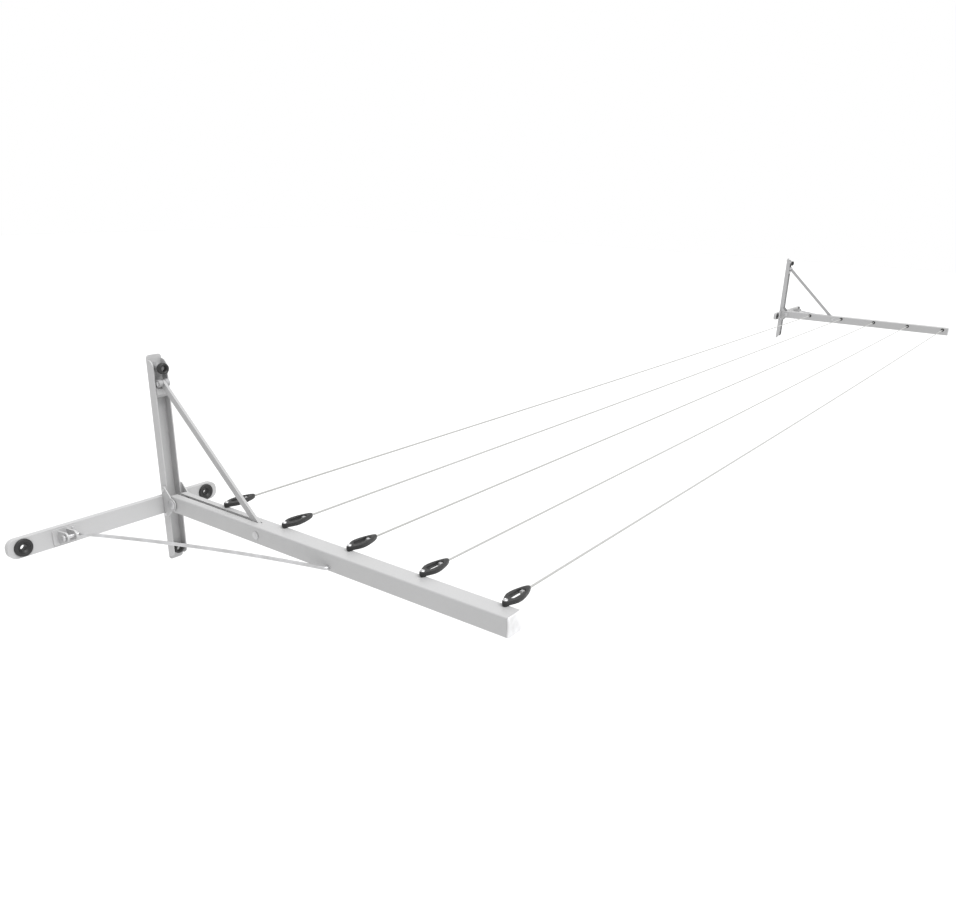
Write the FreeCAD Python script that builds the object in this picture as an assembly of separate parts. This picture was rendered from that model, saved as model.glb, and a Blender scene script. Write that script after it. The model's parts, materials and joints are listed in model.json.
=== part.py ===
import FreeCAD, Part
import math
import os

# Retractable clothesline. Two mirrored wall brackets carry folding arms, with five lines between.
# Origin: wall plane, near post's centre line, hinge level. +X out of the wall, +Y to the far
# bracket, +Z up. The arms are open (level). Millimetres.

# ---- overall
SPAN = 3540.0                 # between the two posts' centre lines
HINGE_X = 34.0                # hinge axis to wall
LINE_COUNT = 5
LINE_FIRST = 120.0            # hinge to first line
LINE_PITCH = 150.0
SHEET = 2.0                   # bracket sheet thickness

# ---- post
POST_HALF = 14.5
POST_DEPTH = 17.0
POST_TOP, POST_BOTTOM = 268.0, -120.0
FLANGE_TOP, FLANGE_BOTTOM = 260.0, -112.0
FLANGE_ROUND = 12.0
POST_END_ROUND = 6.0
POST_HOLE_Z = (246.0, -98.0)

# ---- rail
RAIL_Z, RAIL_HALF = -5.0, 16.5
RAIL_DEPTH = 10.0
RAIL_OUT, RAIL_IN = -300.0, 96.0
RAIL_ROUND = 14.0
RAIL_HOLE_Y = (-276.0, 72.0)

# ---- wall bushes
BUSH_HOLE_R = 5.25
RAIL_BUSH_R, RAIL_BUSH_LIP_R, RAIL_BUSH_LIP = 9.0, 15.0, 3.5
POST_BUSH_R, POST_SPACER_R = 7.5, 8.5
POST_CAP_R, POST_CAP_DEPTH = 10.0, 9.0
POST_CAP_FRONTS = (30.0, 16.0)    # the lower one leaves room for the folded strut

# ---- hinge
PLATE_IN, PLATE_OUT = 17.5, 19.5
PLATE_BACK_X, PLATE_FLAT_X, PLATE_HALF_Z = 10.6, 17.0, 30.0
EAR_R = 12.0
PAD_FRONT_X = 16.5
PIN_R, PIN_HEAD_R, PIN_FOOT_R, PIN_HEAD = 5.0, 8.5, 7.0, 2.0
RUNNING = 0.05                # radial running clearance
RIVET_R, RIVET_HEAD_R, RIVET_HEAD = 2.2, 3.4, 1.2
PLATE_RIVETS = ((13.6, 23.0), (13.6, -23.0))

# ---- arm
ARM_HALF, ARM_HALF_Z = 16.5, 16.0
ARM_LENGTH = 742.0
ARM_EDGE_R = 2.5
ARM_WEB_START = 31.0
SLOT_HALF = 3.6
SLOT_END_X = 259.0
CAP_THICK, CAP_PLUG = 3.0, 18.0
ARM_BUSH_R, ARM_BUSH_LIP_R = 7.5, 9.5
SIDE_GAP = 0.3                # between parts that turn side by side

# ---- strut and rollers
STRUT_PIVOT = (HINGE_X + 228.0, 0.0)
ROLLER_AT = (20.0, 220.0)
STRUT_HALF_W, STRUT_HALF_T = 6.0, 2.5
STRUT_EYE_R, STRUT_TOP_R = 9.0, 6.5
STRUT_PIN_R, STRUT_PIN_HEAD_R, STRUT_PIN_HEAD = 4.0, 7.0, 2.4
SPACER_R = 7.0
AXLE_R, AXLE_HEAD_R = 3.0, 4.2
ROLLER_R, ROLLER_IN, ROLLER_OUT = 7.0, 2.9, 10.5
AXLE_HEAD_IN, AXLE_HEAD_OUT = 10.8, 11.8
CATCH_HALF = 12.0
CATCH_PROFILE = ((2.0, 194.0), (2.0, 227.0), (19.0, 210.0), (19.0, 200.0), (13.0, 194.0))

# ---- tension rod and its saddle
ROD_R = 3.0
ROD_ARM = (HINGE_X + 400.0, -9.0)
ROD_WALL_Y = -196.0
ROD_END_Y = -224.0
ROD_BEND_Y, ROD_INNER_Y = -22.0, -9.0
ROD_BOW = 12.0                # towards the hinge, midway
EAR_YS = (-217.5, -202.5)
EAR_T, SADDLE_EAR_R = 3.0, 8.0
SADDLE_Y0, SADDLE_Y1, SADDLE_HALF_Z = -228.0, -186.0, 14.0
SADDLE_RIVETS = ((-192.0, 3.0), (-192.0, -13.0))
CLIP_R, CLIP_LENGTH = 5.2, 3.0

# ---- tensioners, pegs, anchors and lines
LINE_R, LINE_Z = 1.75, 21.0
PEG_R, PEG_HEAD_R, PEG_CLINCH_R, PEG_Y = 2.2, 3.8, 3.0, 11.0
PEG_TOP, PEG_FOOT = 27.0, 11.0
TENSIONER_BOTTOM, TENSIONER_TOP = 17.0, 25.0
TENSIONER_OUTLINE = ((7.0, 2.8), (11.0, 5.0), (19.0, 8.4), (28.0, 11.6), (37.0, 12.0),
                     (51.0, 9.8), (63.0, 6.4), (71.0, 3.2))
WINDOW_Y0, WINDOW_Y1, WINDOW_HALF = 28.0, 53.0, 5.2
NOSE_HOLE_R = 2.0
FERRULE_R, FERRULE_Y0, FERRULE_Y1 = 3.4, 50.2, 55.9
ANCHOR_Z = 6.5
ANCHOR_RIM_R, ANCHOR_RIM, ANCHOR_SLEEVE_R = 7.0, 3.0, 3.6
FAR_FERRULE_LENGTH = 4.6
FERRULE_GAP = 0.3
FAR_WALL_Y = SPAN - ARM_HALF + SHEET   # inner face of the far arm's inboard side

V = FreeCAD.Vector
ALONG_X, ALONG_Y, ALONG_Z = V(1, 0, 0), V(0, 1, 0), V(0, 0, 1)


def box(x0, x1, y0, y1, z0, z1):
    return Part.makeBox(x1 - x0, y1 - y0, z1 - z0, V(x0, y0, z0))


def cyl_x(x0, x1, y, z, r):
    return Part.makeCylinder(r, x1 - x0, V(x0, y, z), ALONG_X)


def cyl_y(y0, y1, x, z, r):
    low, high = min(y0, y1), max(y0, y1)
    return Part.makeCylinder(r, high - low, V(x, low, z), ALONG_Y)


def cyl_z(z0, z1, x, y, r):
    return Part.makeCylinder(r, z1 - z0, V(x, y, z0), ALONG_Z)


def prism_y(points, y0, y1):
    """A polygon in XZ, extruded from y0 to y1."""
    corners = [V(x, y0, z) for x, z in points]
    return Part.Face(Part.makePolygon(corners + corners[:1])).extrude(V(0, y1 - y0, 0))


def fuse(shapes):
    solid = shapes[0]
    if len(shapes) > 1:
        solid = solid.fuse(shapes[1:])
    return solid.removeSplitter()


def both_sides(y_in, y_out, x, z, r):
    """Two cylinders along Y, mirrored about the bracket's mid-plane."""
    return [cyl_y(y_in, y_out, x, z, r), cyl_y(-y_out, -y_in, x, z, r)]


def fillet_along(solid, axis, radius, keep):
    """Rounds the straight edges that run along axis and whose middle passes keep."""
    picked = []
    for edge in solid.Edges:
        ends = [v.Point for v in edge.Vertexes]
        if len(ends) == 2 and (ends[1] - ends[0]).cross(axis).Length < 1e-6:
            if keep((ends[0] + ends[1]) * 0.5):
                picked.append(edge)
    return solid.makeFillet(radius, picked)


def mirrored(shape):
    return shape.mirror(V(0, SPAN / 2, 0), ALONG_Y)


# ---- fixed parts of a bracket
def post():
    web = box(0, SHEET, -POST_HALF, POST_HALF, POST_BOTTOM, POST_TOP)
    web = fillet_along(web, ALONG_X, POST_END_ROUND, lambda p: True)
    parts = [web]
    for side in (-1, 1):
        y0, y1 = sorted((side * POST_HALF, side * (POST_HALF - SHEET)))
        flange = box(0, POST_DEPTH, y0, y1, FLANGE_BOTTOM, FLANGE_TOP)
        parts.append(fillet_along(flange, ALONG_Y, FLANGE_ROUND, lambda p: p.x > SHEET))
    solid = fuse(parts)
    for z in POST_HOLE_Z:
        solid = solid.cut(cyl_x(-1, SHEET + 1, 0, z, POST_BUSH_R))
    for x, z in PLATE_RIVETS:
        solid = solid.cut(cyl_y(-POST_HALF - 1, POST_HALF + 1, x, z, RIVET_R))
    return solid


def rail(y_end, y_post, hole_y):
    """A shallow channel, open to the wall, with a rounded far end and a square end at the post."""
    low, high = sorted((y_end, y_post))
    outer = box(0, RAIL_DEPTH, low, high, RAIL_Z - RAIL_HALF, RAIL_Z + RAIL_HALF)
    outer = fillet_along(outer, ALONG_X, RAIL_ROUND, lambda p: abs(p.y - y_end) < 1)
    inward = SHEET if y_end < y_post else -SHEET
    low, high = sorted((y_end + inward, y_post + inward))
    inner = box(-1, RAIL_DEPTH - SHEET, low, high,
                RAIL_Z + SHEET - RAIL_HALF, RAIL_Z + RAIL_HALF - SHEET)
    inner = fillet_along(
        inner, ALONG_X, RAIL_ROUND - SHEET, lambda p: abs(p.y - y_end - inward) < 1)
    return outer.cut(inner).cut(cyl_x(-1, RAIL_DEPTH + 1, hole_y, RAIL_Z, RAIL_BUSH_R))


def rail_outer():
    solid = rail(RAIL_OUT, -POST_HALF, RAIL_HOLE_Y[0])
    for y, z in SADDLE_RIVETS:
        solid = solid.cut(cyl_x(-1, RAIL_DEPTH + 1, y, z, RIVET_R))
    return solid


def bushes():
    """Flanged bushes in the rail's wall holes and caps in front of the post's."""
    solids = []
    for y in RAIL_HOLE_Y:
        lip = cyl_x(RAIL_DEPTH, RAIL_DEPTH + RAIL_BUSH_LIP, y, RAIL_Z, RAIL_BUSH_LIP_R)
        lip = lip.makeChamfer(1.2, [e for e in lip.Edges if e.BoundBox.XMin > RAIL_DEPTH + 1])
        sleeve = cyl_x(0, RAIL_DEPTH + 1, y, RAIL_Z, RAIL_BUSH_R)
        solids.append(fuse([lip, sleeve]).cut(
            cyl_x(-1, RAIL_DEPTH + RAIL_BUSH_LIP + 1, y, RAIL_Z, BUSH_HOLE_R)))
    for z, front in zip(POST_HOLE_Z, POST_CAP_FRONTS):
        cap = cyl_x(front - POST_CAP_DEPTH, front, 0, z, POST_CAP_R)
        cap = cap.makeChamfer(2.0, [e for e in cap.Edges if e.BoundBox.XMin > front - 1])
        solids.append(cap.cut(cyl_x(0, front + 1, 0, z, BUSH_HOLE_R)))
    return Part.makeCompound(solids)


def post_spacers():
    """Steel sleeves through the post's web that carry the caps."""
    sleeves = []
    for z, front in zip(POST_HOLE_Z, POST_CAP_FRONTS):
        sleeve = fuse([cyl_x(0, SHEET + 1, 0, z, POST_BUSH_R),
                       cyl_x(SHEET, front - POST_CAP_DEPTH, 0, z, POST_SPACER_R)])
        sleeves.append(sleeve.cut(cyl_x(-1, front, 0, z, BUSH_HOLE_R)))
    return Part.makeCompound(sleeves)


def hinge_plates():
    """Two ears outside the arm, each with a pad that sets it off from the post's flange."""
    profile = ((PLATE_BACK_X, -PLATE_HALF_Z), (PLATE_FLAT_X, -PLATE_HALF_Z), (HINGE_X, -EAR_R),
               (HINGE_X, EAR_R), (PLATE_FLAT_X, PLATE_HALF_Z), (PLATE_BACK_X, PLATE_HALF_Z))
    plates = []
    for side in (-1, 1):
        y0, y1 = sorted((side * PLATE_IN, side * PLATE_OUT))
        pad_y0, pad_y1 = sorted((side * POST_HALF, side * PLATE_IN))
        pad = box(PLATE_BACK_X, PAD_FRONT_X, pad_y0, pad_y1, -PLATE_HALF_Z, PLATE_HALF_Z)
        plate = fuse([prism_y(profile, y0, y1), cyl_y(y0, y1, HINGE_X, 0, EAR_R), pad])
        plate = plate.cut(cyl_y(y0, y1, HINGE_X, 0, PIN_R))
        for x, z in PLATE_RIVETS:
            plate = plate.cut(cyl_y(side * POST_HALF, side * PLATE_OUT, x, z, RIVET_R))
        plates.append(plate)
    return Part.makeCompound(plates)


def hinge_pins():
    """One shouldered pin in each ear, so the strut can pass between them."""
    foot = ARM_HALF - SHEET - SIDE_GAP
    pins = []
    for side in (-1, 1):
        pin = fuse([
            cyl_y(side * (foot - PIN_HEAD), side * foot, HINGE_X, 0, PIN_FOOT_R),
            cyl_y(side * foot, side * PLATE_OUT, HINGE_X, 0, PIN_R),
            cyl_y(side * PLATE_OUT, side * (PLATE_OUT + PIN_HEAD), HINGE_X, 0, PIN_HEAD_R)])
        pins.append(pin)
    return Part.makeCompound(pins)


def plate_rivets():
    rivets = []
    for x, z in PLATE_RIVETS:
        for side in (-1, 1):
            rivets.append(fuse([
                cyl_y(side * (POST_HALF - SHEET), side * PLATE_OUT, x, z, RIVET_R),
                cyl_y(side * PLATE_OUT, side * (PLATE_OUT + RIVET_HEAD), x, z, RIVET_HEAD_R)]))
    return Part.makeCompound(rivets)


def catch_block():
    """A sloped seat on the post's web, just under the rollers of the open strut."""
    return prism_y(CATCH_PROFILE, -CATCH_HALF, CATCH_HALF)


def rod_saddle():
    """A bracket on the rail whose two ears hold the rod's bent end on the hinge axis."""
    front = RAIL_DEPTH + SHEET
    low, high = RAIL_Z - SADDLE_HALF_Z, RAIL_Z + SADDLE_HALF_Z
    base = box(RAIL_DEPTH, front, SADDLE_Y0, SADDLE_Y1, low, high)
    parts = [fillet_along(base, ALONG_X, 4.0, lambda p: True)]
    for y in EAR_YS:
        y0, y1 = y - EAR_T / 2, y + EAR_T / 2
        parts.append(prism_y(((RAIL_DEPTH, low + 3), (front + 4, low + 3),
                              (HINGE_X, -SADDLE_EAR_R), (HINGE_X, SADDLE_EAR_R),
                              (front + 4, high - 3), (RAIL_DEPTH, high - 3)), y0, y1))
        parts.append(cyl_y(y0, y1, HINGE_X, 0, SADDLE_EAR_R))
    solid = fuse(parts)
    solid = solid.cut(cyl_y(SADDLE_Y0, SADDLE_Y1, HINGE_X, 0, ROD_R + RUNNING))
    for y, z in SADDLE_RIVETS:
        solid = solid.cut(cyl_x(RAIL_DEPTH - 1, front + 1, y, z, RIVET_R))
    return solid


def saddle_rivets():
    front = RAIL_DEPTH + SHEET
    return Part.makeCompound([
        fuse([cyl_x(RAIL_DEPTH - SHEET, front, y, z, RIVET_R),
              cyl_x(front, front + RIVET_HEAD, y, z, RIVET_HEAD_R)])
        for y, z in SADDLE_RIVETS])


# ---- arm
def line_xs():
    return [HINGE_X + LINE_FIRST + LINE_PITCH * i for i in range(LINE_COUNT)]


def arm(line_holes):
    """An inverted channel whose rounded heel turns between the ears, in front of the post."""
    tip = HINGE_X + ARM_LENGTH
    inner_y, inner_top = ARM_HALF - SHEET, ARM_HALF_Z - SHEET
    body = box(HINGE_X, tip, -ARM_HALF, ARM_HALF, -ARM_HALF_Z, ARM_HALF_Z)
    body = fuse([body, cyl_y(-ARM_HALF, ARM_HALF, HINGE_X, 0, ARM_HALF_Z)])
    body = fillet_along(body, ALONG_X, ARM_EDGE_R, lambda p: p.z > 0)
    body = body.cut(box(0, tip + 1, -inner_y, inner_y, -ARM_HALF_Z - 1, inner_top))
    body = body.cut(box(0, ARM_WEB_START, -inner_y, inner_y, 0, ARM_HALF_Z + 1))
    slot = fuse([box(0, SLOT_END_X - SLOT_HALF, -SLOT_HALF, SLOT_HALF, 0, ARM_HALF_Z + 1),
                 cyl_z(0, ARM_HALF_Z + 1, SLOT_END_X - SLOT_HALF, 0, SLOT_HALF)])
    body = body.cut(slot)
    across = (-ARM_HALF - 1, ARM_HALF + 1)
    body = body.cut(cyl_y(*across, HINGE_X, 0, ARM_BUSH_R))
    body = body.cut(cyl_y(*across, STRUT_PIVOT[0], STRUT_PIVOT[1], STRUT_PIN_R))
    body = body.cut(cyl_y(-ARM_HALF - 1, 0, ROD_ARM[0], ROD_ARM[1], ROD_R))
    for hole in line_holes:
        body = body.cut(hole)
    return body


def arm_tip_cap():
    tip = HINGE_X + ARM_LENGTH
    inner_y, inner_top = ARM_HALF - SHEET, ARM_HALF_Z - SHEET
    cover = box(tip, tip + CAP_THICK, -ARM_HALF, ARM_HALF, -ARM_HALF_Z, ARM_HALF_Z)
    cover = fillet_along(cover, ALONG_X, ARM_EDGE_R, lambda p: True)
    plug = box(tip - CAP_PLUG, tip, -inner_y, inner_y, inner_top - SHEET, inner_top)
    cheeks = [box(tip - CAP_PLUG, tip, y, y + SHEET, -ARM_HALF_Z + 1, inner_top)
              for y in (-inner_y, inner_y - SHEET)]
    peg_room = cyl_z(0, ARM_HALF_Z, line_xs()[-1], PEG_Y, PEG_HEAD_R + 1)
    return fuse([cover, plug] + cheeks).cut(peg_room)


def arm_bushes():
    outer = PLATE_IN - SIDE_GAP
    rings = []
    for side in (-1, 1):
        ring = fuse([
            cyl_y(side * ARM_HALF, side * outer, HINGE_X, 0, ARM_BUSH_LIP_R),
            cyl_y(side * (ARM_HALF - SHEET), side * outer, HINGE_X, 0, ARM_BUSH_R)])
        rings.append(ring.cut(cyl_y(-PLATE_IN, PLATE_IN, HINGE_X, 0, PIN_R + RUNNING)))
    return Part.makeCompound(rings)


def strut_pin():
    x, z = STRUT_PIVOT
    heads = both_sides(ARM_HALF, ARM_HALF + STRUT_PIN_HEAD, x, z, STRUT_PIN_HEAD_R)
    return fuse([cyl_y(-ARM_HALF, ARM_HALF, x, z, STRUT_PIN_R)] + heads)


def strut_spacers():
    """Tubes on the strut's pin that keep the strut in the middle of the arm."""
    x, z = STRUT_PIVOT
    tubes = both_sides(STRUT_HALF_T + SIDE_GAP, ARM_HALF - SHEET, x, z, SPACER_R)
    hole = cyl_y(-ARM_HALF, ARM_HALF, x, z, STRUT_PIN_R)
    return Part.makeCompound([tube.cut(hole) for tube in tubes])


def tension_rod():
    """A bowed rod: one end on the hinge axis in the saddle, the other in the arm's outer side."""
    wall_bend = V(HINGE_X, ROD_WALL_Y, 0)
    arm_bend = V(ROD_ARM[0], ROD_BEND_Y, ROD_ARM[1])
    run = arm_bend - wall_bend
    inward = V(-run.y, run.x, 0).normalize()
    middle = wall_bend + run * 0.5 + inward * ROD_BOW
    bow = Part.Arc(wall_bend, middle, arm_bend)
    start = Part.Circle(wall_bend, bow.tangent(bow.FirstParameter)[0], ROD_R)
    bar = Part.Wire(bow.toShape()).makePipe(Part.Face(Part.Wire(start.toShape())))
    ends = [cyl_y(ROD_END_Y, ROD_WALL_Y, HINGE_X, 0, ROD_R),
            cyl_y(ROD_BEND_Y, ROD_INNER_Y, ROD_ARM[0], ROD_ARM[1], ROD_R)]
    return fuse([bar] + ends + [Part.makeSphere(ROD_R, point) for point in (wall_bend, arm_bend)])


def rod_clips():
    """Push-on clips at the rod's two ends."""
    ends = ((HINGE_X, 0, ROD_END_Y, ROD_END_Y + CLIP_LENGTH),
            (ROD_ARM[0], ROD_ARM[1], ROD_INNER_Y - CLIP_LENGTH - 1, ROD_INNER_Y - 1))
    return Part.makeCompound([
        cyl_y(y0, y1, x, z, CLIP_R).cut(cyl_y(y0 - 1, y1 + 1, x, z, ROD_R))
        for x, z, y0, y1 in ends])


# ---- strut
def strut():
    (x0, z0), (x1, z1) = STRUT_PIVOT, ROLLER_AT
    length = math.hypot(x1 - x0, z1 - z0)
    across = ((z1 - z0) / length * STRUT_HALF_W, (x0 - x1) / length * STRUT_HALF_W)
    bar = prism_y(((x0 + across[0], z0 + across[1]), (x1 + across[0], z1 + across[1]),
                   (x1 - across[0], z1 - across[1]), (x0 - across[0], z0 - across[1])),
                  -STRUT_HALF_T, STRUT_HALF_T)
    solid = fuse([bar, cyl_y(-STRUT_HALF_T, STRUT_HALF_T, x0, z0, STRUT_EYE_R),
                  cyl_y(-STRUT_HALF_T, STRUT_HALF_T, x1, z1, STRUT_TOP_R)])
    solid = solid.cut(cyl_y(-STRUT_HALF_T - 1, STRUT_HALF_T + 1, x0, z0, STRUT_PIN_R + RUNNING))
    return solid.cut(cyl_y(-STRUT_HALF_T - 1, STRUT_HALF_T + 1, x1, z1, AXLE_R))


def roller_axle():
    x, z = ROLLER_AT
    heads = both_sides(AXLE_HEAD_IN, AXLE_HEAD_OUT, x, z, AXLE_HEAD_R)
    return fuse([cyl_y(-AXLE_HEAD_IN, AXLE_HEAD_IN, x, z, AXLE_R)] + heads)


def rollers():
    x, z = ROLLER_AT
    bore = cyl_y(-ROLLER_OUT - 1, ROLLER_OUT + 1, x, z, AXLE_R + RUNNING)
    return Part.makeCompound(
        [r.cut(bore) for r in both_sides(ROLLER_IN, ROLLER_OUT, x, z, ROLLER_R)])


# ---- tensioners, anchors and lines
def tensioner(x):
    """A flat teardrop with a window: its tail is pegged to the arm and its nose takes the line."""
    right = [V(x + w, y, TENSIONER_BOTTOM) for y, w in TENSIONER_OUTLINE]
    left = [V(x - w, y, TENSIONER_BOTTOM) for y, w in reversed(TENSIONER_OUTLINE)]
    curve = Part.BSplineCurve()
    curve.interpolate(right + left, PeriodicFlag=True)
    body = Part.Face(Part.Wire(curve.toShape())).extrude(
        V(0, 0, TENSIONER_TOP - TENSIONER_BOTTOM))
    low, high = TENSIONER_BOTTOM - 1, TENSIONER_TOP + 1
    window = fuse([box(x - WINDOW_HALF, x + WINDOW_HALF, WINDOW_Y0, WINDOW_Y1, low, high),
                   cyl_z(low, high, x, WINDOW_Y0, WINDOW_HALF),
                   cyl_z(low, high, x, WINDOW_Y1, WINDOW_HALF)])
    foot = cyl_z(ARM_HALF_Z, TENSIONER_BOTTOM + 1, x, PEG_Y, PEG_HEAD_R)
    body = fuse([body.cut(window), foot])
    body = body.cut(cyl_z(ARM_HALF_Z - 1, high, x, PEG_Y, PEG_R))
    return body.cut(cyl_y(WINDOW_Y1, WINDOW_Y1 + 30, x, LINE_Z, NOSE_HOLE_R))


def tensioner_pegs():
    """Headed pegs through the tensioners' tails, clinched under the arm's top."""
    under = ARM_HALF_Z - SHEET
    return Part.makeCompound([
        fuse([cyl_z(PEG_FOOT, PEG_TOP, x, PEG_Y, PEG_R),
              cyl_z(TENSIONER_TOP, PEG_TOP, x, PEG_Y, PEG_HEAD_R),
              cyl_z(PEG_FOOT, under, x, PEG_Y, PEG_CLINCH_R)])
        for x in line_xs()])


def far_line_anchors():
    """Grommets in the far arm's inboard side, each with a wide rim and a hole for the line."""
    face = SPAN - ARM_HALF
    anchors = []
    for x in line_xs():
        anchor = fuse([cyl_y(face - ANCHOR_RIM, face, x, ANCHOR_Z, ANCHOR_RIM_R),
                       cyl_y(face - 1, face + SHEET, x, ANCHOR_Z, ANCHOR_SLEEVE_R)])
        anchors.append(anchor.cut(
            cyl_y(face - ANCHOR_RIM - 1, face + SHEET + 1, x, ANCHOR_Z, NOSE_HOLE_R)))
    return Part.makeCompound(anchors)


def along_line(y0, y1, x, r):
    """A cylinder about a line, which falls a little from its tensioner to its anchor."""
    fall = (ANCHOR_Z - LINE_Z) / (SPAN - FERRULE_Y0)
    start, end = (V(x, y, LINE_Z + fall * (y - FERRULE_Y0)) for y in (y0, y1))
    return Part.makeCylinder(r, (end - start).Length, start, end - start)


def line(x):
    return along_line(FERRULE_Y0, FAR_WALL_Y + FAR_FERRULE_LENGTH, x, LINE_R)


def line_ferrules():
    """Crimped ferrules that stop each line's ends in its tensioner and behind its anchor."""
    ends = ((FERRULE_Y0, FERRULE_Y1),
            (FAR_WALL_Y + FERRULE_GAP, FAR_WALL_Y + FAR_FERRULE_LENGTH))
    return Part.makeCompound([
        along_line(y0, y1, x, FERRULE_R).cut(along_line(y0 - 1, y1 + 1, x, LINE_R))
        for x in line_xs() for y0, y1 in ends])


# ---- all nodes
BRACKET = {
    "post": post(),
    "rail_outer": rail_outer(),
    "rail_inner": rail(RAIL_IN, POST_HALF, RAIL_HOLE_Y[1]),
    "bushes": bushes(),
    "post_spacers": post_spacers(),
    "hinge_plates": hinge_plates(),
    "hinge_pins": hinge_pins(),
    "plate_rivets": plate_rivets(),
    "catch_block": catch_block(),
    "rod_saddle": rod_saddle(),
    "saddle_rivets": saddle_rivets(),
    "arm_tip_cap": arm_tip_cap(),
    "arm_bushes": arm_bushes(),
    "tension_rod": tension_rod(),
    "rod_clips": rod_clips(),
    "strut_pin": strut_pin(),
    "strut_spacers": strut_spacers(),
    "strut": strut(),
    "roller_axle": roller_axle(),
    "rollers": rollers(),
}

nodes = {}
for name, shape in BRACKET.items():
    nodes["near_" + name] = shape
    nodes["far_" + name] = mirrored(shape)
nodes["near_arm"] = arm([cyl_z(0, ARM_HALF_Z + 1, x, PEG_Y, PEG_R) for x in line_xs()])
nodes["far_arm"] = mirrored(
    arm([cyl_y(0, ARM_HALF + 1, x, ANCHOR_Z, ANCHOR_SLEEVE_R) for x in line_xs()]))
for index, line_x in enumerate(line_xs(), start=1):
    nodes["tensioner_%d" % index] = tensioner(line_x)
    nodes["line_%d" % index] = line(line_x)
nodes["tensioner_pegs"] = tensioner_pegs()
nodes["far_line_anchors"] = far_line_anchors()
nodes["line_ferrules"] = line_ferrules()

os.makedirs("parts", exist_ok=True)
for name, shape in nodes.items():
    shape.exportStep("parts/" + name + ".step")
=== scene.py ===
import json
import math

import bmesh
import bpy
from mathutils import Matrix, Vector


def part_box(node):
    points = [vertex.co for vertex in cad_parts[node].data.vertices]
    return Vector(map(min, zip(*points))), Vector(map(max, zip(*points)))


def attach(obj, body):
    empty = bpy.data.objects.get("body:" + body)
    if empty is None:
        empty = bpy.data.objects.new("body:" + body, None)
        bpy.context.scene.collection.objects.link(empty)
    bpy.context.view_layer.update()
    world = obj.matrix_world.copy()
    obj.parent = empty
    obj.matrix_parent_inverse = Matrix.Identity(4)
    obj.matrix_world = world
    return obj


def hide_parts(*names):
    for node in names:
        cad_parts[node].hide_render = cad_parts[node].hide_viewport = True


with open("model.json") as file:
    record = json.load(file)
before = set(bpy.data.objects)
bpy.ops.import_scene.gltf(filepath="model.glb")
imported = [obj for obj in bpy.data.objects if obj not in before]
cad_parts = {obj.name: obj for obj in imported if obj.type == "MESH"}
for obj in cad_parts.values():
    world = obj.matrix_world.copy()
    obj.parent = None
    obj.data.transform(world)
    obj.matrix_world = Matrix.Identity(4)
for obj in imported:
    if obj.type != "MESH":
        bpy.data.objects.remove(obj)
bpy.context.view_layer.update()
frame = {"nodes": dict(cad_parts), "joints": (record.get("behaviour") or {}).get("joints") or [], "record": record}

MM = 0.001
SIDES = ("near", "far")
JOINTS = {joint["name"]: joint for joint in frame["joints"]}
MOUNTS = {mount["name"]: mount for mount in frame["record"]["mounts"]}
SPAN = JOINTS["far_arm_fold"]["pos_m"][1]
LINE_NUMBERS = range(1, 6)

# The camera looks over the near arm's tip, along the wall and a little down.
CAMERA_AT = (1.339, -0.864, 0.562)
CAMERA_YAW, CAMERA_PITCH, CAMERA_ROLL = 34.7, 21.1, 1.9
CAMERA_LENS, SENSOR = 31.86, 36.0
CAMERA_SHIFT = (-0.0188, 0.06)

LINE_DIAMETER = 3.5 * MM
# Along each line: share of its length, and how far it hangs below a straight one.
LINE_ROUTE = ((0.0, 0.0), (0.03, 0.0), (0.35, 5.0 * MM), (0.65, 5.0 * MM), (0.97, 0.0), (1.0, 0.0))


# ---------------------------------------------------------------- camera and lines
def make_camera():
    """The scene's camera, placed and turned by the CAMERA values."""
    yaw, pitch, roll = (math.radians(a) for a in (CAMERA_YAW, CAMERA_PITCH, CAMERA_ROLL))
    ahead = Vector((-math.sin(yaw) * math.cos(pitch), math.cos(yaw) * math.cos(pitch),
                    -math.sin(pitch)))
    right = ahead.cross(Vector((0, 0, 1))).normalized()
    up = right.cross(ahead)
    tilted_right = math.cos(roll) * right + math.sin(roll) * up
    tilted_up = math.cos(roll) * up - math.sin(roll) * right
    turn = Matrix((tilted_right, tilted_up, -ahead)).transposed().to_4x4()
    data = bpy.data.cameras.new("camera")
    data.lens, data.sensor_width = CAMERA_LENS, SENSOR
    data.shift_x, data.shift_y = CAMERA_SHIFT
    data.clip_start, data.clip_end = 0.01, 200
    camera = bpy.data.objects.new("camera", data)
    camera.matrix_world = Matrix.Translation(CAMERA_AT) @ turn
    bpy.context.collection.objects.link(camera)
    bpy.context.scene.camera = camera


def line_ends(number):
    """The two ends of one line's centre line, near end first; the far end is the lower one."""
    low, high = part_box("line_%d" % number)
    x, radius = (low.x + high.x) / 2, LINE_DIAMETER / 2
    return Vector((x, low.y, high.z - radius)), Vector((x, high.y, low.z + radius))


def make_line(number):
    """One taut line, from its ferrule in the tensioner's window to the one inside the far arm."""
    node = "line_%d" % number
    start, end = line_ends(number)
    data = bpy.data.curves.new("drying_line_%d" % number, "CURVE")
    data.dimensions = "3D"
    data.bevel_depth = 1.0
    data.bevel_resolution = 3
    data.resolution_u = 12
    data.use_fill_caps = True
    spline = data.splines.new("NURBS")
    spline.points.add(len(LINE_ROUTE) - 1)
    for point, (share, drop) in zip(spline.points, LINE_ROUTE):
        place = start.lerp(end, share)
        point.co = (place.x, place.y, place.z - drop, 1)
        point.radius = LINE_DIAMETER / 2
    spline.order_u = 3
    spline.use_endpoint_u = True
    line = bpy.data.objects.new("drying_line_%d" % number, data)
    bpy.context.collection.objects.link(line)
    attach(line, "near_arm")
    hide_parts(node)
    return line


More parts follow.
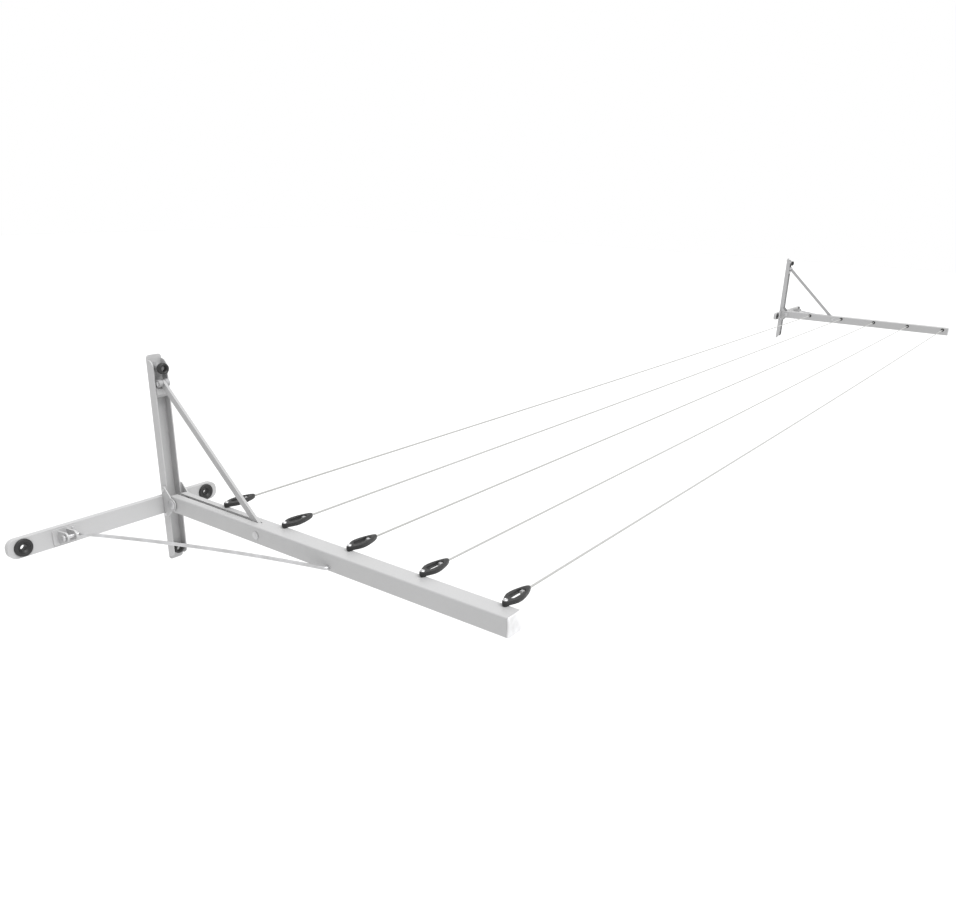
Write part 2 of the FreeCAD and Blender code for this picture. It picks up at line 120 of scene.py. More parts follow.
# ---------------------------------------------------------------- materials
class Nodes:
    """A short way to add shader nodes to one material."""

    def __init__(self, name):
        self.material = bpy.data.materials.new(name)
        self.material.use_nodes = True
        self.tree = self.material.node_tree
        self.shader = self.tree.nodes["Principled BSDF"]
        self.place = self.add("ShaderNodeTexCoord").outputs["Object"]

    def add(self, kind, inputs=(), **settings):
        node = self.tree.nodes.new(kind)
        for key, value in settings.items():
            setattr(node, key, value)
        for socket, value in dict(inputs).items():
            self.plug(node.inputs[socket], value)
        return node

    def plug(self, socket, value):
        """Links a socket to another node's output, or gives it a fixed value."""
        if isinstance(value, bpy.types.NodeSocket):
            self.tree.links.new(value, socket)
        else:
            socket.default_value = value

    def noise(self, scale, detail=3.0, stretch=None):
        place = self.place
        if stretch:
            place = self.add("ShaderNodeMapping", {"Vector": place, "Scale": stretch}).outputs[0]
        return self.add("ShaderNodeTexNoise",
                        {"Vector": place, "Scale": scale, "Detail": detail}).outputs["Fac"]

    def ranged(self, value, low, high, to_low, to_high):
        return self.add("ShaderNodeMapRange", {
            "Value": value, "From Min": low, "From Max": high,
            "To Min": to_low, "To Max": to_high}).outputs[0]

    def mix(self, share, first, second):
        """A colour between first and second. Inputs 6 and 7 and output 2 are the colour ones."""
        return self.add("ShaderNodeMix", {0: share, 6: first, 7: second},
                        data_type="RGBA").outputs[2]

    def edges(self, radius, strength):
        """Up to strength along worn edges and 0 elsewhere, broken up by noise."""
        bevel = self.add("ShaderNodeBevel", {"Radius": radius}, samples=4).outputs[0]
        normal = self.add("ShaderNodeNewGeometry").outputs["Normal"]
        facing = self.add("ShaderNodeVectorMath", {0: bevel, 1: normal},
                          operation="DOT_PRODUCT").outputs["Value"]
        edge = self.ranged(facing, 0.999, 0.93, 0.0, strength)
        chips = self.ranged(self.noise(60, 4), 0.42, 0.62, 0.15, 1.0)
        return self.add("ShaderNodeMath", {0: edge, 1: chips}, operation="MULTIPLY").outputs[0]

    def set(self, **values):
        for name, value in values.items():
            self.plug(self.shader.inputs[name.replace("_", " ")], value)

    def bump(self, height, strength, distance):
        bump = self.add("ShaderNodeBump", {
            "Height": height, "Strength": strength, "Distance": distance})
        self.set(Normal=bump.outputs["Normal"])


def grey(value, tint=1.0):
    """A grey colour whose blue is scaled by tint."""
    return (value, value, value * tint, 1.0)


def painted_metal(name, base, metallic):
    """Silver-grey satin paint: slow tone drift, fine metal fleck, orange peel and rubbed edges."""
    n = Nodes(name)
    drift = n.ranged(n.noise(2.2, 2), 0.3, 0.7, 0.0, 1.0)
    fleck = n.ranged(n.noise(900, 2), 0.35, 0.65, 0.0, 1.0)
    tone = n.mix(drift, grey(base * 0.96), grey(base * 1.04, 1.01))
    tone = n.mix(n.ranged(fleck, 0, 1, 0.0, 0.25), tone, grey(base * 1.25))
    tone = n.mix(n.edges(0.9 * MM, 0.45), tone, grey(min(base * 1.7, 0.8)))
    n.set(Base_Color=tone, Metallic=metallic)
    n.set(Roughness=n.ranged(n.noise(45, 4), 0.3, 0.7, 0.38, 0.52))
    n.set(Coat_Weight=0.12, Coat_Roughness=0.3)
    n.bump(n.noise(420, 2), 0.18, 0.2 * MM)
    return n.material


def plated_steel(name, base):
    """Dull zinc plate: cloudy tone, fine drawn streaks and brighter edges."""
    n = Nodes(name)
    cloud = n.ranged(n.noise(60, 4), 0.3, 0.7, 0.0, 1.0)
    tone = n.mix(cloud, grey(base * 0.85), grey(base * 1.12, 1.02))
    tone = n.mix(n.edges(0.5 * MM, 0.5), tone, grey(min(base * 1.5, 0.85)))
    streak = n.noise(300, 3, stretch=(1, 0.08, 1))
    n.set(Base_Color=tone, Metallic=0.75)
    n.set(Roughness=n.ranged(streak, 0.3, 0.7, 0.28, 0.46))
    n.bump(streak, 0.15, 0.1 * MM)
    return n.material


def moulded_plastic(name, base, rough):
    """Moulded plastic: spark-eroded grain, faint flow marks and polished edges."""
    n = Nodes(name)
    flow = n.ranged(n.noise(35, 3), 0.3, 0.7, 0.0, 1.0)
    tone = n.mix(flow, grey(base * 0.85), grey(base * 1.25, 1.03))
    tone = n.mix(n.edges(0.7 * MM, 0.5), tone, grey(base * 2.2 + 0.02))
    n.set(Base_Color=tone)
    n.set(Roughness=n.ranged(n.noise(150, 4), 0.3, 0.7, rough - 0.08, rough + 0.1))
    n.bump(n.noise(1400, 3), 0.35, 0.12 * MM)
    return n.material


def braided_line(name, base):
    """Off-white braid: two crossed sets of strands, with painted shade in the valleys between them, and patchy
    dirt.
    """
    n = Nodes(name)
    waves = []
    for lean in (1, -1):
        place = n.add("ShaderNodeMapping", {
            "Vector": n.place, "Rotation": (0, 0, lean * math.radians(38))}).outputs[0]
        waves.append(n.add("ShaderNodeTexWave", {
            "Vector": place, "Scale": 210.0, "Distortion": 0.4, "Detail": 1.0},
            bands_direction="Y").outputs["Fac"])
    weave = n.add("ShaderNodeMath", {0: waves[0], 1: waves[1]}, operation="MAXIMUM").outputs[0]
    dirt = n.ranged(n.noise(3.5, 3), 0.35, 0.7, 0.0, 0.35)
    # Painted shade: the braid is darker in the valleys between strands, following the weave.
    tone = n.mix(weave, grey(base * 0.72, 0.95), grey(base, 0.985))
    tone = n.mix(dirt, tone, grey(base * 0.85, 0.94))
    n.set(Base_Color=tone, Sheen_Weight=0.25, Sheen_Roughness=0.5)
    n.set(Roughness=n.ranged(weave, 0, 1, 0.85, 0.65))
    n.bump(weave, 0.6, 0.3 * MM)
    return n.material


def make_materials():
    """One material for each slot, by the slot's name."""
    return {
        "silver_paint": painted_metal("silver_paint", 0.385, 0.1),
        "strut_steel": painted_metal("strut_steel", 0.33, 0.15),
        "zinc_steel": plated_steel("zinc_steel", 0.5),
        "black_plastic": moulded_plastic("black_plastic", 0.010, 0.5),
        "grey_plastic": moulded_plastic("grey_plastic", 0.30, 0.5),
        "pale_plastic": moulded_plastic("pale_plastic", 0.60, 0.5),
        "line_cord": braided_line("line_cord", 0.36),
    }


def dress(thing, slot):
    """Gives an object the one material of its slot."""
    thing.data.materials.clear()
    thing.data.materials.append(MATERIALS[slot])


# ---------------------------------------------------------------- mesh building
def ring_axes(axis):
    """Two unit vectors square to axis, and axis itself."""
    axis = Vector(axis).normalized()
    helper = Vector((0, 0, 1)) if abs(axis.z) < 0.9 else Vector((1, 0, 0))
    first = axis.cross(helper).normalized()
    return first, axis.cross(first), axis


def loft(rings, loop=False):
    """Skins equal rings of points. An open loft gets end caps; a looped one joins up."""
    count = len(rings[0])
    verts = [point for ring in rings for point in ring]
    faces = []
    for k in range(len(rings) if loop else len(rings) - 1):
        a, b = k * count, (k + 1) % len(rings) * count
        for i in range(count):
            j = (i + 1) % count
            faces.append((a + i, a + j, b + j, b + i))
    if not loop:
        faces.append(tuple(range(count))[::-1])
        faces.append(tuple(range(len(verts) - count, len(verts))))
    return verts, faces


def turned(profile, at, axis, steps=40):
    """A solid of revolution from (distance along axis, radius) pairs."""
    first, second, along = ring_axes(axis)
    at = Vector(at)
    rings = []
    for distance, radius in profile:
        rings.append([at + along * distance + radius * (
            math.cos(a) * first + math.sin(a) * second)
            for a in (math.tau * i / steps for i in range(steps))])
    return loft(rings)


def turned_ring(profile, at, axis, steps=48):
    """A hollow turned part: the closed profile of (distance, radius) goes round the axis."""
    first, second, along = ring_axes(axis)
    at = Vector(at)
    rings = []
    for i in range(steps):
        a = math.tau * i / steps
        out = math.cos(a) * first + math.sin(a) * second
        rings.append([at + along * distance + out * radius for distance, radius in profile])
    return loft(rings, loop=True)


def arc(centre, radius, start, end, steps=5):
    """Points on an arc, for profiles; angles in degrees from the first coordinate's axis."""
    points = []
    for i in range(steps + 1):
        a = math.radians(start + (end - start) * i / steps)
        points.append((centre[0] + radius * math.cos(a), centre[1] + radius * math.sin(a)))
    return points


def rounded_outline(half_a, half_b, radius, steps=4):
    """A rounded rectangle's corner points, anticlockwise."""
    points = []
    for turn, (sa, sb) in enumerate(((1, 1), (-1, 1), (-1, -1), (1, -1))):
        centre = (sa * (half_a - radius), sb * (half_b - radius))
        points += arc(centre, radius, 90 * turn, 90 * turn + 90, steps)
    return points


def rounded_block(low, high, radius, axis):
    """A block along one axis (0, 1 or 2) whose long edges and end rims are rounded."""
    low, high = Vector(low), Vector(high)
    first, second = [k for k in range(3) if k != axis]
    middle = (low + high) / 2
    half = (high - low) / 2
    rim = min(radius * 0.6, half[axis] * 0.45)
    rings = []
    stations = [(-1, a) for a in (90, 60, 30, 0)] + [(1, a) for a in (0, 30, 60, 90)]
    for side, angle in stations:
        inset = rim * (1 - math.cos(math.radians(angle)))
        along = side * (half[axis] - rim + rim * math.sin(math.radians(angle)))
        ring = []
        for a, b in rounded_outline(half[first] - inset, half[second] - inset, radius):
            point = middle.copy()
            point[axis] += along
            point[first] += a
            point[second] += b
            ring.append(point)
        rings.append(ring)
    return loft(rings)


def swept(path, radius, steps=20):
    """A round bar along a path; radius is a number or a function of the share of the path."""
    size = radius if callable(radius) else (lambda share: radius)
    path = [Vector(p) for p in path]
    rings = []
    first = ring_axes(path[1] - path[0])[0]
    for i, point in enumerate(path):
        ahead = (path[min(i + 1, len(path) - 1)] - path[max(i - 1, 0)]).normalized()
        first = (first - ahead * first.dot(ahead)).normalized()
        second = ahead.cross(first)
        r = size(i / (len(path) - 1))
        rings.append([point + r * (math.cos(a) * first + math.sin(a) * second)
                      for a in (math.tau * k / steps for k in range(steps))])
    return loft(rings)


def bent_path(corners, bend, steps=8):
    """A path through corners whose inner corners are arcs of about the given radius."""
    corners = [Vector(c) for c in corners]
    path = [corners[0]]
    for before, corner, after in zip(corners, corners[1:], corners[2:]):
        back, on = (before - corner).normalized(), (after - corner).normalized()
        reach = bend / math.tan(back.angle(on) / 2)
        start, end = corner + back * reach, corner + on * reach
        for i in range(steps + 1):
            t = i / steps
            path.append(start * (1 - t) ** 2 + corner * 2 * t * (1 - t) + end * t ** 2)
    return path + [corners[-1]]


def piece(name, parts, body, slot, replaces=(), sharp=35.0):
    """Joins built parts into one named object, dresses it and lets it ride on its body."""
    mesh = bpy.data.meshes.new(name)
    build = bmesh.new()
    for verts, faces in parts:
        made = [build.verts.new(v) for v in verts]
        for face in faces:
            build.faces.new([made[i] for i in face])
    bmesh.ops.remove_doubles(build, verts=build.verts, dist=1e-7)
    bmesh.ops.recalc_face_normals(build, faces=build.faces)
    build.to_mesh(mesh)
    build.free()
    for polygon in mesh.polygons:
        polygon.use_smooth = True
    mesh.set_sharp_from_angle(angle=math.radians(sharp))
    thing = bpy.data.objects.new(name, mesh)
    bpy.context.collection.objects.link(thing)
    dress(thing, slot)
    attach(thing, body)
    if replaces:
        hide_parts(*replaces)


# ---------------------------------------------------------------- bracket hardware
POST_CAP_DEPTH = 9 * MM
PLATE_OUT = 19.5 * MM           # the hinge plates' outer faces, from the post's centre
RIVET_R, RIVET_HEAD = 2.2 * MM, 1.2 * MM


def spot(side, x, y, z):
    """A point of the near bracket, or its mirror on the far one; metres."""
    return Vector((x, y if side == "near" else SPAN - y, z))


def along_y(side, direction):
    """The Y direction on the near bracket, or its mirror on the far one."""
    return (0, direction if side == "near" else -direction, 0)


def hole_centres(side):
    """Centres of the bracket's wall holes: two in the rail, then two in the post."""
    rail, post = MOUNTS[side + "_rail_holes"], MOUNTS[side + "_post_holes"]
    reach_y = rail["dims"]["spacing_x_mm"] * MM / 2
    reach_z = post["dims"]["spacing_y_mm"] * MM / 2
    _, y, z = rail["pos_m"]
    rail_centres = [(0, y - reach_y, z), (0, y + reach_y, z)]
    _, y, z = post["pos_m"]
    return rail_centres, [(0, y, z + reach_z), (0, y, z - reach_z)]


def post_cap(front, hole):
    """Profile of the black cap over a post hole, with two grooves round it."""
    radius, back = 10 * MM, front - POST_CAP_DEPTH
    profile = [(back, hole), (back, radius - 1 * MM)] + arc(
        (back + 1 * MM, radius - 1 * MM), 1 * MM, 180, 90, 3)
    for start in (2.4, 4.2):
        groove = back + start * MM
        profile += [(groove, radius), (groove + 0.3 * MM, radius - 0.5 * MM),
                    (groove + 0.8 * MM, radius - 0.5 * MM), (groove + 1.1 * MM, radius)]
    profile += arc((front - 2.5 * MM, radius - 2.5 * MM), 2.5 * MM, 90, 0)
    return profile + [(front, 6.6 * MM), (front - 1.2 * MM, hole)]


def post_sleeve(front, hole):
    """Profile of the steel sleeve from the wall, through the post's web, to the cap's back."""
    web, sleeve_r, spacer_r = 2 * MM, 7.5 * MM, 8.5 * MM
    back = front - POST_CAP_DEPTH
    return [(0, hole), (0, sleeve_r), (web, sleeve_r), (web, spacer_r - 0.4 * MM),
            (web + 0.4 * MM, spacer_r), (back - 0.4 * MM, spacer_r), (back, spacer_r - 0.4 * MM),
            (back, hole)]


def wall_bushes(side):
    """Black bushes with a domed lip and a countersunk mouth, and the post holes' steel sleeves."""
    rail_centres, post_centres = hole_centres(side)
    hole = MOUNTS[side + "_rail_holes"]["dims"]["hole_r_mm"] * MM
    front = MOUNTS[side + "_rail_holes"]["pos_m"][0]
    lip, lip_r, sleeve_r = 3.5 * MM, 15 * MM, 9 * MM
    rail_profile = [(0, hole), (0, sleeve_r), (front - lip, sleeve_r), (front - lip, lip_r)]
    rail_profile += arc((front - 2 * MM, lip_r - 2 * MM), 2 * MM, 90, 0)
    rail_profile += [(front, 10.4 * MM), (front - 0.7 * MM, 9.9 * MM), (front - 0.7 * MM, 8.6 * MM),
                     (front, 8.1 * MM), (front - 2.6 * MM, hole)]
    parts = [turned_ring(rail_profile, c, (1, 0, 0)) for c in rail_centres]
    fronts = (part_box(side + "_bushes")[1].x, MOUNTS[side + "_post_holes"]["pos_m"][0])
    parts += [turned_ring(post_cap(front, hole), centre, (1, 0, 0))
              for centre, front in zip(post_centres, fronts)]
    sleeves = [turned_ring(post_sleeve(front, hole), centre, (1, 0, 0))
               for centre, front in zip(post_centres, fronts)]
    piece(side + "_post_sleeves", sleeves, "wall_frame", "zinc_steel", [side + "_post_spacers"])
    piece(side + "_wall_bushes", parts, "wall_frame", "black_plastic", [side + "_bushes"])


def domed_head(radius, height):
    """Profile of a domed head that starts at distance 0."""
    return [(0, radius * 0.999), (height * 0.25, radius)] + [
        (height * (0.25 + 0.75 * math.sin(a)), radius * math.cos(a))
        for a in (math.radians(d) for d in (15, 30, 45, 60, 75, 88))]


def stud_profile(length, shank_r, head_r, head, foot_r=0):
    """Profile of a stud with a domed head, and with a second head at its foot if foot_r is given."""
    if foot_r:
        foot = [(-head, foot_r * 0.5), (-head * 0.6, foot_r), (0, foot_r)]
    else:
        foot = [(0, shank_r * 0.4)]
    dome = [(length + d, r) for d, r in domed_head(head_r, head)]
    return foot + [(0, shank_r), (length, shank_r)] + dome


def studs(side, node, body, places, shank_r, head_r, head, foot_r=0):
    """Headed studs along Y; places holds each one's (x, z, foot's y, head's y)."""
    parts = []
    for x, z, foot, top in places:
        profile = stud_profile(abs(top - foot), shank_r, head_r, head, foot_r)
        parts.append(turned(profile, spot(side, x, foot, z), along_y(side, 1 if top > foot else -1)))
    piece(side + "_" + node + "_studs", parts, body, "zinc_steel", [side + "_" + node])


def hinge_studs(side):
    """The hinge's two pins, headed outside the plates and inside the arm."""
    x, _, z = JOINTS["near_arm_fold"]["pos_m"]
    foot = 14.2 * MM
    places = [(x, z, s * foot, s * PLATE_OUT) for s in (-1, 1)]
    studs(side, "hinge_pins", "wall_frame", places,
          shank_r=5 * MM, head_r=8.5 * MM, head=2 * MM, foot_r=7 * MM)


def plate_studs(side):
    """Two rivets in each hinge plate, headed on its outer face."""
    x, reach_z, foot = 13.6 * MM, 23 * MM, 12.5 * MM
    places = [(x, z, s * foot, s * PLATE_OUT) for z in (reach_z, -reach_z) for s in (-1, 1)]
    studs(side, "plate_rivets", "wall_frame", places,
          shank_r=RIVET_R, head_r=3.4 * MM, head=RIVET_HEAD)


def strut_stud(side):
    """The strut's pin, headed on both sides of the arm."""
    x, _, z = JOINTS["near_strut_swing"]["pos_m"]
    half, head_r = 16.5 * MM, 7 * MM
    studs(side, "strut_pin", side + "_arm", [(x, z, -half, half)],
          shank_r=4 * MM, head_r=head_r, head=2.4 * MM, foot_r=head_r)


def axle_stud(side):
    """The rollers' axle, headed on the outer side of both rollers."""
    x, _, z = JOINTS["near_roller_spin"]["pos_m"]
    half, head_r = 10.8 * MM, 4.2 * MM
    studs(side, "roller_axle", side + "_strut", [(x, z, -half, half)],
          shank_r=3 * MM, head_r=head_r, head=1 * MM, foot_r=head_r)


def roller_pair(side):
    """Two wheels with rounded treads and dished faces."""
    x, _, z = JOINTS["near_roller_spin"]["pos_m"]
    inner, outer, tread, bore = 2.9 * MM, 10.5 * MM, 7 * MM, 3.05 * MM
    width, dish = outer - inner, 0.8 * MM
    hub_r, dish_in_r, dish_out_r, face_r = 4.4 * MM, 4.7 * MM, 5.5 * MM, 5.9 * MM
    profile = [(0, bore), (0, hub_r), (dish, dish_in_r), (dish, dish_out_r), (0, face_r)]
    profile += arc((1 * MM, tread - 1 * MM), 1 * MM, 180, 90, 4)
    profile += arc((width - 1 * MM, tread - 1 * MM), 1 * MM, 90, 0, 4)
    profile += [(width, face_r), (width - dish, dish_out_r), (width - dish, dish_in_r),
                (width, hub_r), (width, bore)]
    parts = [turned_ring(profile, spot(side, x, s * inner, z), along_y(side, s)) for s in (-1, 1)]
    piece(side + "_roller_pair", parts, side + "_rollers", "grey_plastic", [side + "_rollers"])


def saddle_studs(side):
    """The two rivets that hold the rod's saddle on the rail."""
    low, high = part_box(side + "_saddle_rivets")
    y, head_r = (low.y + high.y) / 2, (high.y - low.y) / 2
    profile = stud_profile(high.x - low.x - RIVET_HEAD, RIVET_R, head_r, RIVET_HEAD)
    parts = [turned(profile, (low.x, y, z), (1, 0, 0))
             for z in (low.z + head_r, high.z - head_r)]
    piece(side + "_saddle_studs", parts, "wall_frame", "zinc_steel", [side + "_saddle_rivets"])


def tension_rod(side):
    """The bent rod, with real bends and chamfered ends, and its two push-on star clips."""
    low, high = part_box(side + "_tension_rod")
    radius, bend_radius, chamfer_mm = 3 * MM, 5 * MM, 0.8
    wall_tip_y, wall_clip_y, wall_bend_y = -224 * MM, -221 * MM, -196 * MM
    arm_bend_y, arm_clip_y, arm_tip_y = -22 * MM, -13 * MM, -9 * MM
    hinge_x = JOINTS["near_arm_fold"]["pos_m"][0]
    arm_x, arm_z = high.x - radius, low.z + radius
    wall_bend, arm_bend = Vector((hinge_x, wall_bend_y, 0)), Vector((arm_x, arm_bend_y, arm_z))
    run = arm_bend - wall_bend
    inward = Vector((-run.y, run.x, 0)).normalized()
    steps, bow = 12, 12 * MM
    corners = [Vector((hinge_x, wall_tip_y, 0))]
    corners += [wall_bend + run * t + inward * bow * 4 * t * (1 - t)
                for t in (i / steps for i in range(steps + 1))]
    corners = [spot(side, *c) for c in corners + [Vector((arm_x, arm_tip_y, arm_z))]]
    path = bent_path(corners, bend_radius)
    start, end = (path[1] - path[0]).normalized(), (path[-1] - path[-2]).normalized()
    path = [path[0], path[0] + start * chamfer_mm * MM] + path[1:-1] + [
        path[-1] - end * chamfer_mm * MM, path[-1]]
    bar = swept(path, lambda share: radius * (0.75 if share in (0, 1) else 1.0))
    piece(side + "_bent_rod", [bar], side + "_arm", "zinc_steel", [side + "_tension_rod"])
    clip = [(0, 2.9 * MM), (0, 4.6 * MM), (0.5 * MM, 5.2 * MM), (1.3 * MM, 5.2 * MM),
            (2.6 * MM, 4.2 * MM), (3 * MM, 3.4 * MM), (3 * MM, 2.9 * MM)]
    clips = [turned_ring(clip, spot(side, hinge_x, wall_clip_y, 0), along_y(side, -1)),
             turned_ring(clip, spot(side, arm_x, arm_clip_y, arm_z), along_y(side, 1))]
    piece(side + "_star_clips", clips, side + "_arm", "zinc_steel", [side + "_rod_clips"])


def weld_bead(start, end, radius):
    """A short rippled bead of weld."""
    start, end = Vector(start), Vector(end)
    steps, ripples = 60, 11
    path = [start.lerp(end, i / steps) for i in range(steps + 1)]

    def size(share):
        taper = min(1.0, 6 * min(share, 1 - share) + 0.35)
        return radius * taper * (0.86 + 0.14 * abs(math.sin(math.pi * ripples * share)))
    return swept(path, size, 12)


def welds(side):
    """Beads where the two rails meet the post, on the rails' front and top and bottom edges."""
    rail_low, rail_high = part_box(side + "_rail_outer")
    post_low, post_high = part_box(side + "_post")
    depth, radius, inset = rail_high.x, 1.5 * MM, 2 * MM
    parts = []
    for y in (post_low.y, post_high.y):
        parts.append(weld_bead((depth, y, rail_low.z + inset), (depth, y, rail_high.z - inset),
                               radius))
        for z in (rail_low.z, rail_high.z):
            parts.append(weld_bead((inset, y, z), (depth - 1 * MM, y, z), radius))
    piece(side + "_weld_beads", parts, "wall_frame", "silver_paint")


def tip_cap(side):
    """The arm's end plug: a rounded cover with a shallow rim, and tongues inside the channel."""
    low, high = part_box(side + "_arm_tip_cap")
    cover, wall, tongue = 3 * MM, 2 * MM, 11 * MM
    face = high.x - cover
    top = high.z - wall
    sides = [(low.y + wall, low.y + 2 * wall), (high.y - 2 * wall, high.y - wall)]
    parts = [rounded_block((face, low.y, low.z), (high.x, high.y, high.z), 3 * MM, 0)]
    parts += [rounded_block((low.x, y0, low.z + 1 * MM), (face + 1 * MM, y1, top), 0.5 * MM, 0)
              for y0, y1 in sides]
    parts.append(rounded_block((face - tongue, low.y + 2 * wall, top - wall),
                               (face + 1 * MM, high.y - 2 * wall, top), 0.5 * MM, 0))
    piece(side + "_end_plug", parts, side + "_arm", "pale_plastic", [side + "_arm_tip_cap"])


# ---------------------------------------------------------------- line fittings
PEG_Y = 11 * MM
# The tensioner's plan in mm: pairs of y and half width, and its window's rounded ends.
OUTLINE = ((7.0, 2.8), (8.6, 4.1), (11, 5.0), (15, 6.4), (21, 9.2), (28, 11.6), (34, 12.0),
           (40, 11.7), (47, 10.6), (54, 8.9), (61, 6.9), (68, 4.4), (71.5, 2.9))
WINDOW_START, WINDOW_END, WINDOW_HALF = 28.0, 53.0, 5.2
TAIL_Y, NOSE_R = 6.5, 2.9
THUMB_RIBS = (17, 19, 21)
NOSE_HOLE_R = 2 * MM


def resampled(points, count):
    """The closed polygon's outline at equal steps, from its first point on."""
    points = [Vector(p) for p in points]
    ends = points[1:] + points[:1]
    lengths = [(b - a).length for a, b in zip(points, ends)]
    step = sum(lengths) / count
    made, index, done = [], 0, 0.0
    for k in range(count):
        target = k * step
        while done + lengths[index] < target:
            done += lengths[index]
            index += 1
        made.append(points[index].lerp(ends[index], (target - done) / lengths[index]))
    return made


def signed_power(value, power):
    """A power of the value's size that keeps its sign; below 1 it squares off a round section."""
    return math.copysign(abs(value) ** power, value)


def teardrop(x, z_low, z_high):
    """The tensioner's body: a soft-edged band between a teardrop outline and its window."""
    count, around = 96, 20
    right = [(w, y) for y, w in OUTLINE]
    nose = arc((0, OUTLINE[-1][0] - 1.2), NOSE_R, 20, 160, 5)
    left = [(-w, y) for y, w in reversed(OUTLINE)]
    outer = resampled([(0, TAIL_Y)] + right + nose + left, count)
    window = [(0, WINDOW_START - WINDOW_HALF)]
    window += arc((0, WINDOW_START), WINDOW_HALF, -80, 0, 6)
    window += arc((0, WINDOW_END), WINDOW_HALF, 0, 180, 12)
    window += arc((0, WINDOW_START), WINDOW_HALF, 180, 260, 6)
    inner = resampled(window, count)
    middle, half = (z_low + z_high) / 2, (z_high - z_low) / 2
    rings = []
    for out, into in zip(outer, inner):
        centre, reach = (out + into) / 2, (out - into) / 2
        ring = []
        for k in range(around):
            a = math.tau * k / around
            flat = (centre + reach * signed_power(math.cos(a), 0.35)) * MM
            ring.append((x + flat.x, flat.y, middle + half * signed_power(math.sin(a), 0.45)))
        rings.append(ring)
    return loft(rings, loop=True)


def tensioner(number):
    """A teardrop tensioner with its foot, a rim round the line's hole and thumb ribs."""
    node = "tensioner_%d" % number
    low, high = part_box(node)
    x, line_z = (low.x + high.x) / 2, line_ends(number)[0].z
    under = low.z + 1 * MM
    parts = [teardrop(x, under, high.z)]
    parts.append(turned([(0, 3.4 * MM), (0.4 * MM, 3.8 * MM), (2.5 * MM, 3.8 * MM)],
                        (x, PEG_Y, low.z), (0, 0, 1)))
    rim = [(-2.5 * MM, NOSE_HOLE_R), (-2.5 * MM, 3.1 * MM)]
    rim += arc((-0.8 * MM, 2.4 * MM), 0.8 * MM, 90, 0, 4) + [(0, NOSE_HOLE_R)]
    parts.append(turned_ring(rim, (x, high.y, line_z), (0, 1, 0), 24))
    reach, rib_r = 4.2 * MM, 0.45 * MM
    for y in THUMB_RIBS:
        parts.append(swept([(x - reach, y * MM, high.z - 0.5 * MM),
                            (x, y * MM, high.z - rib_r),
                            (x + reach, y * MM, high.z - 0.5 * MM)], rib_r, 10))
    piece("teardrop_%d" % number, parts, "near_arm", "black_plastic", [node], sharp=50)


def line_xs():
    """Each line's distance from the wall."""
    return [line_ends(number)[0].x for number in LINE_NUMBERS]


def pegs():
    """Turned pegs with a domed, dimpled head over a washer face, clinched under the arm."""
    low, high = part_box("tensioner_pegs")
    head_r, shank_r, clinch_r = 3.8 * MM, 2.2 * MM, 3 * MM
    length = high.z - low.z
    profile = [(0, clinch_r * 0.7), (0.8 * MM, clinch_r), (3 * MM, clinch_r), (3 * MM, shank_r),
               (length - 2 * MM, shank_r), (length - 2 * MM, head_r),
               (length - 1.2 * MM, head_r), (length - 0.5 * MM, head_r * 0.86),
               (length, head_r * 0.55), (length, head_r * 0.42), (length - 0.7 * MM, head_r * 0.2)]
    parts = [turned(profile, (x, PEG_Y, low.z), (0, 0, 1)) for x in line_xs()]
    piece("headed_pegs", parts, "near_arm", "zinc_steel", ["tensioner_pegs"])


def far_anchors():
    """Grommets in the far arm's side: a domed rim, a rounded mouth and a sleeve."""
    low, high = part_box("far_line_anchors")
    depth, rim_r, rim, sleeve_r = high.y - low.y, (high.z - low.z) / 2, 3 * MM, 3.6 * MM
    bore = NOSE_HOLE_R
    profile = [(0.9 * MM, bore), (0.25 * MM, bore + 0.5 * MM), (0, bore + 1.3 * MM),
               (0, bore + 2.2 * MM), (0.5 * MM, rim_r - 1.6 * MM), (1.3 * MM, rim_r - 0.5 * MM),
               (2.1 * MM, rim_r), (rim, rim_r), (rim, sleeve_r), (depth - 0.4 * MM, sleeve_r),
               (depth, sleeve_r - 0.3 * MM), (depth, bore)]
    parts = [turned_ring(profile, (x, low.y, (low.z + high.z) / 2), (0, 1, 0), 40)
             for x in line_xs()]
    piece("far_grommets", parts, "far_arm", "black_plastic", ["far_line_anchors"])


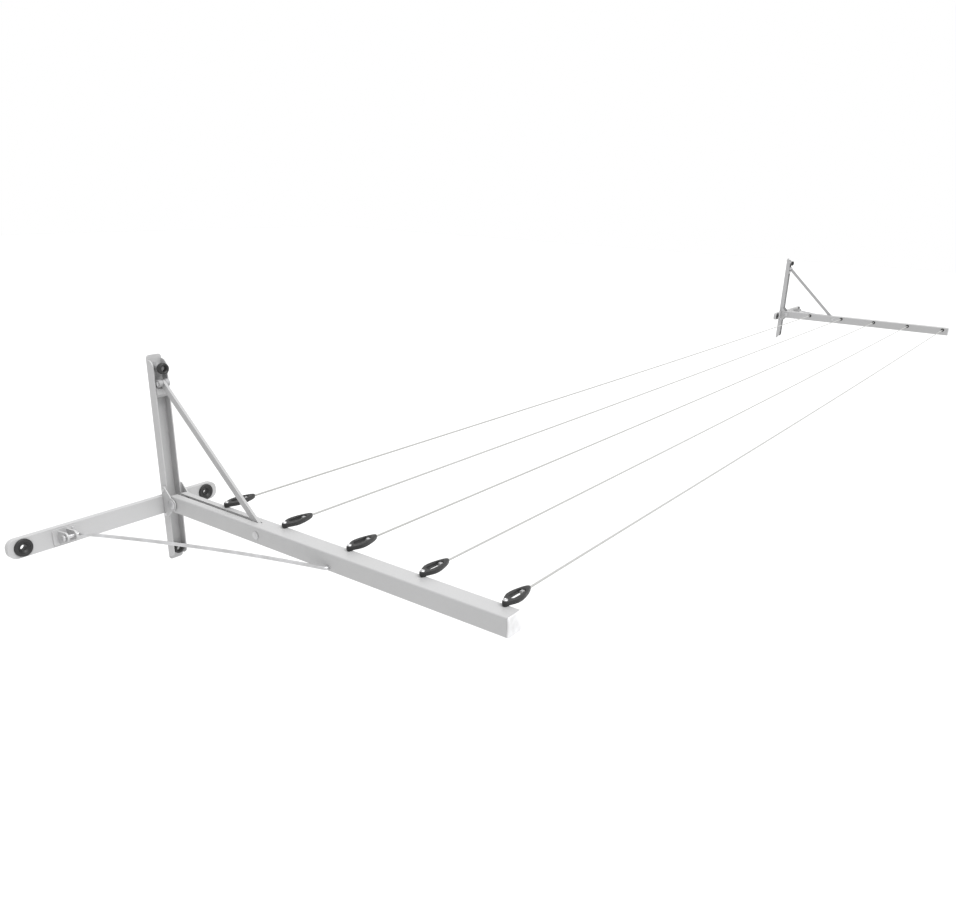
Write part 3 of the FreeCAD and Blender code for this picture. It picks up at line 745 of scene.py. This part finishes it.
def ferrules():
    """Crimped barrels on both ends of every line."""
    low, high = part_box("line_ferrules")
    radius, length, bore = 3.4 * MM, 4.3 * MM, 1.7 * MM
    profile = [(0, bore), (0, radius * 0.85), (0.5 * MM, radius)]
    for start in (0.9, 2.4):      # the two crimps
        profile += [(start * MM, radius), ((start + 0.25) * MM, radius * 0.84),
                    ((start + 0.55) * MM, radius * 0.84), ((start + 0.8) * MM, radius)]
    profile += [(length - 0.3 * MM, radius), (length, radius * 0.85), (length, bore)]
    parts = []
    for number in LINE_NUMBERS:
        start, end = line_ends(number)
        parts.append(turned_ring(profile, (start.x, low.y + 0.4 * MM, start.z), (0, 1, 0), 28))
        parts.append(turned_ring(profile, (end.x, high.y, end.z), (0, -1, 0), 28))
    piece("crimped_ferrules", parts, "near_arm", "zinc_steel", ["line_ferrules"])


# ---------------------------------------------------------------- studio
def make_studio():
    """A wide white floor well below the brackets, a white surround and one soft sun."""
    reach, drop = 30.0, 1.6
    mesh = bpy.data.meshes.new("floor")
    mesh.from_pydata([(-reach, -reach, -drop), (reach, -reach, -drop), (reach, reach, -drop),
                      (-reach, reach, -drop)], [], [(0, 1, 2, 3)])
    floor = bpy.data.objects.new("floor", mesh)
    bpy.context.collection.objects.link(floor)
    n = Nodes("floor")
    n.set(Base_Color=n.mix(n.ranged(n.noise(0.4, 2), 0.3, 0.7, 0, 1), grey(0.66), grey(0.68)))
    n.set(Roughness=0.9)
    mesh.materials.append(n.material)

    world = bpy.data.worlds.new("surround")
    bpy.context.scene.world = world
    world.use_nodes = True
    sky = world.node_tree.nodes["Background"].inputs
    sky["Color"].default_value = (1, 1, 1, 1)
    sky["Strength"].default_value = 1.0

    sun = bpy.data.lights.new("sun", "SUN")
    sun.energy, sun.angle = 2.9, math.radians(35)
    lamp = bpy.data.objects.new("sun", sun)
    lamp.rotation_euler = (math.radians(-2), math.radians(28), 0)
    bpy.context.collection.objects.link(lamp)
    bpy.context.scene.view_settings.view_transform = "Standard"


make_camera()
MATERIALS = make_materials()
for number in LINE_NUMBERS:
    dress(make_line(number), "line_cord")

for entry in frame["record"]["subparts"]:
    dress(frame["nodes"][entry["node"]], entry["material_slot"])

for side in SIDES:
    wall_bushes(side)
    hinge_studs(side)
    plate_studs(side)
    strut_stud(side)
    axle_stud(side)
    roller_pair(side)
    saddle_studs(side)
    tension_rod(side)
    welds(side)
    tip_cap(side)
for number in LINE_NUMBERS:
    tensioner(number)
pegs()
far_anchors()
ferrules()
make_studio()
